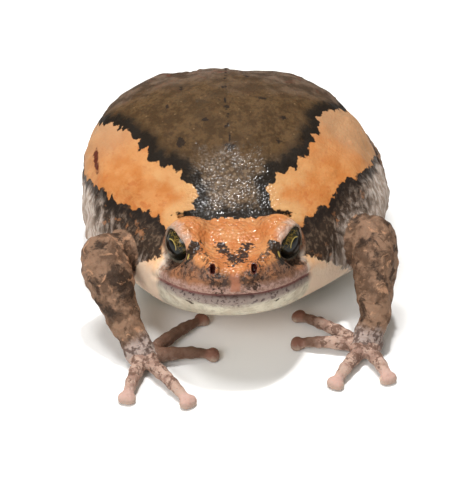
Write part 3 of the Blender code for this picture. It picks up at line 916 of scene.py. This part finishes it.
class SkinPaint(Paint):
    """Paint that reads the attributes of the skin's mesh, in millimetres, and has noise of four sizes."""

    def __init__(self):
        super().__init__("skin")
        self.place, x, self.y, self.z = self.attribute("place")
        self.side = abs(x)
        self.arc = self.attribute("trunk")[2]
        _, self.saddle, self.flank, self.cross = self.attribute("marks")
        _, self.limb, self.crease, self.hand = self.attribute("limbs")
        _, self.mouth, self.eye, self.tip = self.attribute("face")
        _, self.rim, self.nostril, self.corner = self.attribute("lids")
        self.fine = self.noise(0.45, 3) - 0.5
        self.small = self.noise(1.0, 4) - 0.5
        self.medium = self.noise(2.6, 4) - 0.5
        self.large = self.noise(7.0, 3) - 0.5
        self.streaks = self.noise(1.1, 4, 0.6, 0.4, stretch=(1.6, 1.6, 0.45)) - 0.5
        self.spots = self.step(self.noise(0.55, 4, 0.7), 0.49, 0.55)
        self.border = self.fine * 0.5 + self.small * 0.7 + self.noise(1.8, 2) - 0.5


def band_colour(p):
    """The orange band, paler towards the groin and beside the saddle, with a dark red crease."""
    return p.layers(
        p.mix((210, 132, 68), (224, 154, 92), (p.medium, -0.12, 0.16)),
        ((200, 114, 58), 0.55, (p.small + p.large * 0.6, 0.06, 0.2)),
        ((204, 160, 120), 0.8, (p.y + p.large * 8, 20, 31)),
        ((236, 196, 138), 0.5, (p.saddle - p.small * 2, 2.2, 0.6), (p.y, 24, 17)),
        ((92, 34, 22), 0.95, (p.crease + p.small * 1.6 + p.fine * 0.5, 0.75, 0.35)),
    )


def back_colour(p):
    """Olive brown, greyer with red-brown patches at the rear, the nape grainy, the edge nearly black."""
    rear = p.step(p.y + p.large * 14, 31, 42)
    nape = p.mix((92, 74, 56), (152, 128, 102), (p.cells(0.55) + p.small * 1.5, 0.6, 0.2))
    middle = (abs(p.arc + p.small * 0.8), 0.34, 0.1)
    return p.layers(
        p.mix((78, 56, 32), (106, 80, 50), (p.medium + p.small + p.fine * 0.8, -0.2, 0.24)),
        ((60, 45, 29), 0.7, (p.small + p.large + p.fine * 0.5, 0.08, 0.3)),
        ((146, 116, 82), 0.6, (p.cells(1.5), 0.13, 0.05)),
        (p.mix((80, 64, 52), (128, 108, 94), (p.medium, -0.1, 0.14)), 0.8, rear),
        ((112, 62, 44), 0.55, rear, (p.noise(3.4, 4, 0.6, 0.6), 0.57, 0.66)),
        (nape, 0.7, (p.y + p.medium * 4, 22, 18)),
        ((28, 21, 14), 0.95, (p.saddle + p.small * 2.2 + p.medium * 1.4 + p.fine * 1.2, -2.6, -0.9)),
        # The line down the middle, and the dark spots.
        ((40, 30, 22), 1, middle, (p.noise(1.3, 2), 0.48, 0.6), (p.y, 18, 20)),
        ((34, 25, 20), 0.8, (p.cross + p.fine * 1.2 + p.small * 1.6, 0.6, 0.35)),
    )


def flank_colour(p):
    """Dark under the band, greyer and pinker outwards, in short upright streaks, with a pale belly."""
    grey = p.mix((164, 144, 128, 0.75), (212, 196, 184, 0.75), (p.streaks, -0.1, 0.12))
    belly = p.mix((208, 196, 168), (150, 132, 118), (p.noise(2.2, 4, 0.6, 0.5), 0.5, 0.6))
    depth = p.flank * -1 + (p.y - 15) * 0.42 + p.streaks * 5 + p.small * 2
    return p.layers(
        p.mix((64, 50, 40), (120, 98, 80), (p.streaks + p.fine * 0.4, -0.05, 0.2)),
        ((186, 126, 84), 0.7, (p.noise(1.7, 3), 0.6, 0.68)),
        (grey, 1, (depth + p.large * 5, 2.0, 6.5)),
        ((30, 22, 18), 0.8, (p.flank + p.small * 1.2, -1.6, -0.5)),
        (belly, 1, (p.z + p.medium * 5, 7.5, 3.5)),
    )


def face_colour(p):
    """Mottled brown under the eyes, mauve lips, and a pink stripe down the middle."""
    above_lip = (p.mouth, 0.4, 0.8)
    near_nose = p.step(abs(p.side - 1.9) + p.medium * 1.4, 1.7, 0.8)
    mottles = p.step(p.noise(0.42, 4, 0.7), 0.46, 0.56)
    under_eye = p.mix((98, 74, 58), (44, 31, 24), mottles)
    lip = p.mix((204, 168, 154), (164, 130, 116), mottles)
    pale = p.mix((226, 206, 188, 0.85), (176, 150, 132, 0.8), (p.noise(0.8, 4, 0.65), 0.5, 0.6))
    outer = p.side + p.y * 0.4 + p.medium * 2 + p.small * 2
    return p.layers(
        p.mix((170, 116, 82), (136, 98, 76), (p.medium, -0.1, 0.1)),
        ((58, 42, 34), 0.9, p.spots, p.most(near_nose, p.step(p.mouth, 0.6, 2.4) * 0.75)),
        ((64, 48, 38), 0.75, near_nose, (p.small + p.fine * 0.8, -0.06, 0.05), above_lip),
        (under_eye, 0.9, (p.eye + p.small * 3.2 + p.fine * 3, 2.0, 1.4), (p.z, 14.4, 13.4)),
        (lip, 0.85, (p.mouth + p.small * 1.2, 1.7, 0.8)),
        ((96, 76, 68), 0.6, (p.noise(0.55, 3, 0.6), 0.56, 0.62), (p.side, 3.6, 2.0)),
        (pale, 0.9, (outer, 11.7, 13.2), (p.z, 14.2, 12.6)),
        ((190, 124, 94), 0.8, (p.side + p.small * 1.4, 0.75, 0.3), above_lip),
    )


def jaw_colour(p):
    """Below the mouth: a speckled lower lip, then cream."""
    return p.layers(
        p.mix((248, 238, 214), (224, 210, 186), (p.medium + p.small * 0.5, -0.1, 0.14)),
        ((196, 184, 162), 0.6, (p.noise(0.9, 4, 0.65), 0.52, 0.62)),
        ((156, 136, 130), 0.85, (p.mouth + p.small + p.side * -0.14, -3.2, -1.6)),
        ((84, 66, 66), 0.8, (p.noise(0.5, 3, 0.6), 0.54, 0.61), (p.mouth + p.side * -0.18, -2.8, -2.0)),
        ((120, 98, 92), 0.45, (p.mouth + p.small * 0.8, -0.9, -0.3), (p.side, 6.5, 3.5)),
    )


def head_colour(p):
    """Orange on top, pinker on the lids, then face and jaw, and the dark marks over them."""
    pink = p.mix((228, 200, 182), (216, 174, 150), (p.small, -0.06, 0.12))
    on_face = p.z + p.y * 0.11 - p.side * 0.15 + p.medium * 1.6 + p.small * 1.4
    patch_x = (p.side + p.y * 0.45 - 7.6) * 0.95
    patch_y = (p.y - 5.1) * 0.72
    patch = p.math("SQRT", patch_x * patch_x + patch_y * patch_y) + p.small * 2 + p.fine * 1.6
    trail = abs(p.side - 2.2 - p.y * 0.45) + p.small * 1.5
    return p.layers(
        p.mix((214, 130, 70), (226, 156, 98), (p.medium + p.fine * 0.6, -0.12, 0.16)),
        (pink, 0.75, (p.rim + p.small, 1.5, 0.7), (p.z, 14.6, 15.8)),
        (face_colour(p), 1, (on_face, 16.1, 15.2)),
        # The black patch before each eye, the trail from it to the nostril, the V on the snout, the nostrils.
        ((28, 22, 15), 0.96, (patch, 1.1, 0.8), (p.z, 13.4, 14.0)),
        ((60, 42, 32), 0.85, (trail, 0.9, 0.5), (p.y, 5.5, 4.5), p.spots),
        ((26, 16, 19), 0.96, (p.cross + p.small * 2.4 + p.fine * 3.4, 0.75, 0.4)),
        ((60, 44, 38), 0.8, (p.nostril + p.small * 0.8, 0.7, 0.3), p.spots),
        ((84, 30, 26), 0.95, (p.nostril, 0.2, 0.05)),
        # The jaw, the line of the mouth, the specks on the jaw, and the yellow streak before each eye.
        (jaw_colour(p), 1, (p.mouth, 0.05, -0.15)),
        ((150, 92, 88), 0.75, (abs(p.mouth + 0.02), 0.32, 0.1), (p.y, 10.6, 9.4)),
        ((58, 34, 28), 0.9, (p.crease + p.fine, 0.5, 0.3)),
        ((210, 176, 92), 0.9, (p.corner, 0.16, 0.04)),
    )


def with_head(p, colour):
    """Lays the head over the trunk's colours, with pale cheeks where it meets band and flank; the cheeks are
    painted brighter than their own colour, as painted light against the shade there.
    """
    # The cheeks' orange and cream, painted brighter (lit 0.9) as painted light against the shade of the arms
    # and of the cheek's roll.
    cheek = p.mix((244, 188, 134, 0.9), (240, 214, 188, 0.9), (p.z + p.medium * 3 + p.small * 2, 13.0, 9.5))
    behind = p.step(p.side + p.y * 0.4 + p.small * 2, 12.8, 14.4)
    head = p.mix(head_colour(p), cheek, behind, (p.z + p.y * -0.05 + p.small, 13.6, 12.6))
    lower = p.z + (p.y - 9.6) * 0.62 + (p.side - 9) * 0.32 + p.small * 2.4 + p.fine
    top = p.most(p.step(p.flank + p.border, -0.1, 0.1), p.step(p.y, 9.6, 8.6))
    top = p.most(top, p.step(p.eye, 1.4, 0.9))
    return p.layers(
        colour,
        # The brightened cheek colour, partly painted light, below the band and beside the limbs.
        (cheek, 1, (lower, 13.3, 12.9), (p.y + p.small, 17.5, 15.5), (p.limb, 0.1, 0.6)),
        (head, 1, (p.y + p.small * 0.8, 13.0, 12.6), top, (p.saddle + p.border, -0.09, 0.09)),
    )


def hand_colour(p):
    """Grey palms, and fingers pinker to the tips, the inner ones darkened to brown with painted shade."""
    palm = p.mix((192, 172, 162), (118, 98, 90), (p.small + p.fine * 0.7, -0.08, 0.1))
    mottles = p.step(p.noise(0.8, 4, 0.65) - p.step(p.tip, 2.5, 0.5) * 0.08, 0.48, 0.58)
    at_end = p.step(p.tip, 0.9, 0.1)
    # Painted shade: a brown, redder at the ends, laid over the inner fingers, which lie in the chin's shade.
    brown = p.mix((116, 84, 66), (146, 98, 78), at_end)
    fingers = p.layers(
        p.mix((212, 180, 162), (178, 144, 128), (p.small + p.medium, -0.1, 0.12)),
        ((122, 92, 78), 0.85, mottles),
        ((228, 188, 174), 0.8, at_end),
        # The painted shade over the fingers nearest the middle and behind the palm.
        (brown, 0.88 - mottles * 0.2, (p.side, 12.5, 10.0), (p.y, 0.5, 3.0)),
    )
    return p.mix(palm, fingers, (p.hand, 1.6, 0.4))


def limb_colour(p):
    """Grey brown with dark mottles and orange creases, paler near the floor."""
    return p.layers(
        p.mix((158, 124, 100), (110, 84, 66), (p.medium + p.small * 0.6, -0.1, 0.12)),
        ((60, 46, 37), 0.88, (p.noise(2.8, 5, 0.66, 0.4), 0.50, 0.61)),
        ((214, 164, 128), 0.7, (p.noise(2.1, 4, 0.65, 0.8), 0.57, 0.66)),
        (hand_colour(p), 1, (p.hand + p.medium * 2.5, 3.4, 2.2)),
        ((196, 174, 156), 0.6, (p.z + p.small, 1.2, 0.5)),
    )


def wetness(p):
    """1 on the wet grains of head and nape, in patches."""
    patches = p.noise(1.6, 3) + p.step(p.cross, 1.6, 0.6) * 0.4
    near_middle = (abs(p.arc) + p.y * 0.12, 9.0, 6.5)
    return p.product(near_middle, (p.y + p.medium * 3, 22.5, 18.0), (p.mouth, 1.4, 2.8), (patches, 0.34, 0.5))


def grain_bump(p, wet, on_limb):
    """Rounded grains on head and nape, finer ones elsewhere, and wrinkles on the limbs."""
    coarse = p.cells(0.40)
    broad = p.cells(0.56)
    before_neck = p.step(p.y, 13.5, 12.5)
    grain = (1 - coarse * coarse * 1.6) * (0.020 + wet * (1 - before_neck) * 0.05)
    grain = grain + (1 - broad * broad * 1.6) * wet * before_neck * 0.12
    grain = grain + (1 - p.cells(0.2)) * 0.010 + (p.streaks * 0.10 + p.small * 0.06) * (1 - wet)
    grain = grain + p.fine * 0.04 + p.small * 0.03
    grain = grain + abs(p.noise(1.5, 2, 0.5, 0.8) - 0.5) * on_limb * 0.45
    return p.node("ShaderNodeBump", {"Strength": 1.0, "Distance": MM, "Height": grain})


def skin_material():
    p = SkinPaint()
    trunk_colour = p.layers(
        band_colour(p),
        (flank_colour(p), 1, (p.flank + p.border, 0.09, -0.09)),
        (back_colour(p), 1, (p.saddle + p.border, 0.09, -0.09)),
    )
    on_limb = p.product((p.limb + p.small * 0.5, 0.65, 0.35), (p.eye, 3.0, 4.0))
    colour = p.layers(
        with_head(p, trunk_colour),
        (limb_colour(p), 1, on_limb),
        ((136, 134, 118), 0.55, (p.rim + p.fine * 0.3, 0.32, 0.18)),
    )
    wet = wetness(p)
    normal = grain_bump(p, wet, on_limb)
    # The lids are wet too, and a few drops lie on the back.
    wet = p.most(wet, p.product((p.rim, 1.6, 0.8), (p.z, 14.5, 15.5)))
    wet = p.most(wet, p.product((p.cells(2.3), 0.11, 0.06), (p.saddle, -1.0, -2.0), (p.y, 40, 30)))
    p.set(Base_Color=colour, Roughness=0.7 - wet * 0.2 + p.fine * 0.25, Normal=normal)
    p.set(Coat_Weight=wet * 0.95, Coat_Roughness=0.10, Coat_Normal=normal, Coat_IOR=1.36)
    p.set(Subsurface_Weight=0.12, Subsurface_Scale=0.001, Subsurface_Radius=(1.0, 0.4, 0.25))
    p.set(Specular_IOR_Level=0.12)
    return p.material


collection = bpy.context.scene.collection


def make_object(name, points, faces, material, layers):
    """A smooth mesh moved into the shared frame, with the attributes that its paint reads."""
    mesh = bpy.data.meshes.new(name)
    mesh.from_pydata(((points + SHIFT) * MM).tolist(), [], faces)
    mesh.materials.append(material)
    mesh.shade_smooth()
    for key, columns in layers.items():
        layer = mesh.attributes.new(key, "FLOAT_VECTOR", "POINT")
        layer.data.foreach_set("vector", np.ascontiguousarray(columns, np.float32).ravel())
    obj = bpy.data.objects.new(name, mesh)
    collection.objects.link(obj)
    return obj


skin_layers = {
    "place": points,
    "trunk": trunk,
    "marks": np.c_[saddle, flank, cross],
    "limbs": np.c_[limb_near, crease, hand],
    "lids": np.c_[rim_gap, nearest(nostrils, points), corner],
    "face": np.c_[mouth, eye_gap, tip],
}
skin = make_object("frog_skin", points, quads.tolist(), skin_material(), skin_layers)
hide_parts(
    "head", "torso",
    *[
        f"{part}_{side}"
        for part in ("upper_arm", "forearm", "hand", "thigh", "shank", "foot")
        for side in ("left", "right")
    ],
)
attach(skin, "root")


def eye_material():
    """A dark eye with gold threads over its upper part and a gold ring round the pupil."""
    p = Paint("eye")
    p.place, u, v, w = p.attribute("eye")
    reach = p.math("ARCTAN2", p.math("SQRT", u * u + v * v), w)
    veins = abs(p.noise(0.34, 3, 0.6, 0.9) - 0.5)
    wave = p.noise(0.8, 2) - 0.5
    fine = p.noise(0.25, 2) - 0.5
    gold = p.mix((168, 136, 58), (74, 68, 34), (wave + fine * 0.5, -0.1, 0.1))
    above = (v * 0.9 + u * 0.5 + wave * 1.4, 0.35, 1.0)
    ring = p.step(abs(reach - 0.365 + wave * 0.05), 0.030, 0.014)
    colour = p.layers(
        p.mix((16, 21, 15), (9, 12, 9), (reach, 0.5, 0.95)),
        (gold, 0.9, (veins, 0.05, 0.02), (reach, 0.95, 0.7), above),
        ((200, 174, 98), 1, ring, (u * 0.6 + v * 0.8 + wave * 0.5, 0.4, 0.7)),
        ((2, 2, 2), 1, (reach + wave * 0.03, 0.34, 0.31)),
        ((16, 17, 15), 1, (reach, 0.98, 1.05)),
    )
    p.set(Base_Color=colour, Roughness=0.3, Coat_Weight=0.4, Coat_Roughness=0.03, Specular_IOR_Level=0.1)
    return p.material


def eyeball(name, side, material):
    """A ball whose poles lie on the pupil's axis, a little fuller over the pupil."""
    axis = unit(PUPIL_AXIS * (side, 1, 1))
    inward = unit(np.cross((0, 0, 1), axis) * -side)
    up = np.cross(axis, inward) * -side
    bends = np.linspace(0, math.pi, 65)
    rounds = np.linspace(0, 2 * math.pi, 96, endpoint=False)
    local = [[0, 0, 1]]
    for bend in bends[1:-1]:
        c, s = math.cos(bend), math.sin(bend)
        local += [[s * math.cos(a), s * math.sin(a), c] for a in rounds]
    local = np.array(local + [[0, 0, -1]])
    n = len(rounds)
    last = len(local) - 1
    sectors = [(i, (i + 1) % n) for i in range(n)]
    faces = [(0, 1 + i, 1 + j) for i, j in sectors]
    for r in range(len(bends) - 3):
        a, b = 1 + r * n, 1 + (r + 1) * n
        faces += [(a + i, b + i, b + j, a + j) for i, j in sectors]
    faces += [(last - n + i, last, last - n + j) for i, j in sectors]
    if np.linalg.det([inward, up, axis]) < 0:
        faces = [face[::-1] for face in faces]
    bend = np.arccos(local[:, 2].clip(-1, 1))
    bulge = eye_reach(bend) / EYE_RADIUS + 0.035 * np.exp(-((bend / 0.55) ** 2))
    turned = local[:, :1] * inward + local[:, 1:2] * up + local[:, 2:] * axis
    points = eyes[name].centre + EYE_RADIUS * bulge[:, None] * turned
    eye = make_object("eyeball_" + name, points, faces, material, {"eye": local * EYE_RADIUS})
    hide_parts("eye_" + name)
    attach(eye, "root")


eye_paint = eye_material()
for name, side in SIDES.items():
    eyeball(name, side, eye_paint)

# The floor and the lights are in metres, and the camera's place is in the frog's frame. It was worked out
# from the photo, as was the focal length, in the photo's pixels.
FLOOR_SIZE = 3.0
LIT_PLACE = Vector((0, 0, 0.012))
FOCAL_PIXELS, PHOTO_HEIGHT, SENSOR = 960, 482, 36
CAMERA_PLACE = np.array((0.312, -100.066, 79.232))
PITCH = math.radians(30.28)

bpy.ops.mesh.primitive_plane_add(size=FLOOR_SIZE, location=(0, 0, 0))
floor = bpy.context.object
floor.name = "floor"
floor_paint = Paint("floor")
floor_paint.set(Base_Color=(0.93, 0.93, 0.92), Roughness=0.7)
floor.data.materials.append(floor_paint.material)

world = bpy.data.worlds.new("studio")
bpy.context.scene.world = world
world.use_nodes = True
background = world.node_tree.nodes["Background"].inputs
background["Color"].default_value = (1, 0.96, 0.89, 1)
background["Strength"].default_value = 0.30


def area_light(name, place, size, energy):
    light = bpy.data.lights.new(name, "AREA")
    light.size = size
    light.energy = energy
    obj = bpy.data.objects.new(name, light)
    obj.location = place
    obj.rotation_euler = (LIT_PLACE - Vector(place)).to_track_quat("-Z", "Y").to_euler()
    collection.objects.link(obj)


area_light("key", (-0.07, 0.02, 0.41), 0.10, 0.8)
area_light("front", (-0.20, -0.37, 0.28), 0.25, 1.4)
area_light("spark", (0.01, 0.05, 0.40), 0.025, 0.95)

camera = bpy.data.cameras.new("camera")
camera.lens = FOCAL_PIXELS * SENSOR / PHOTO_HEIGHT
camera.sensor_width = SENSOR
camera.clip_start = 0.005
camera_obj = bpy.data.objects.new("camera", camera)
collection.objects.link(camera_obj)
camera_obj.location = Vector((CAMERA_PLACE + SHIFT) * MM)
camera_obj.rotation_euler = (math.pi / 2 - PITCH, 0, 0)
bpy.context.scene.camera = camera_obj
bpy.context.scene.view_settings.view_transform = "Standard"
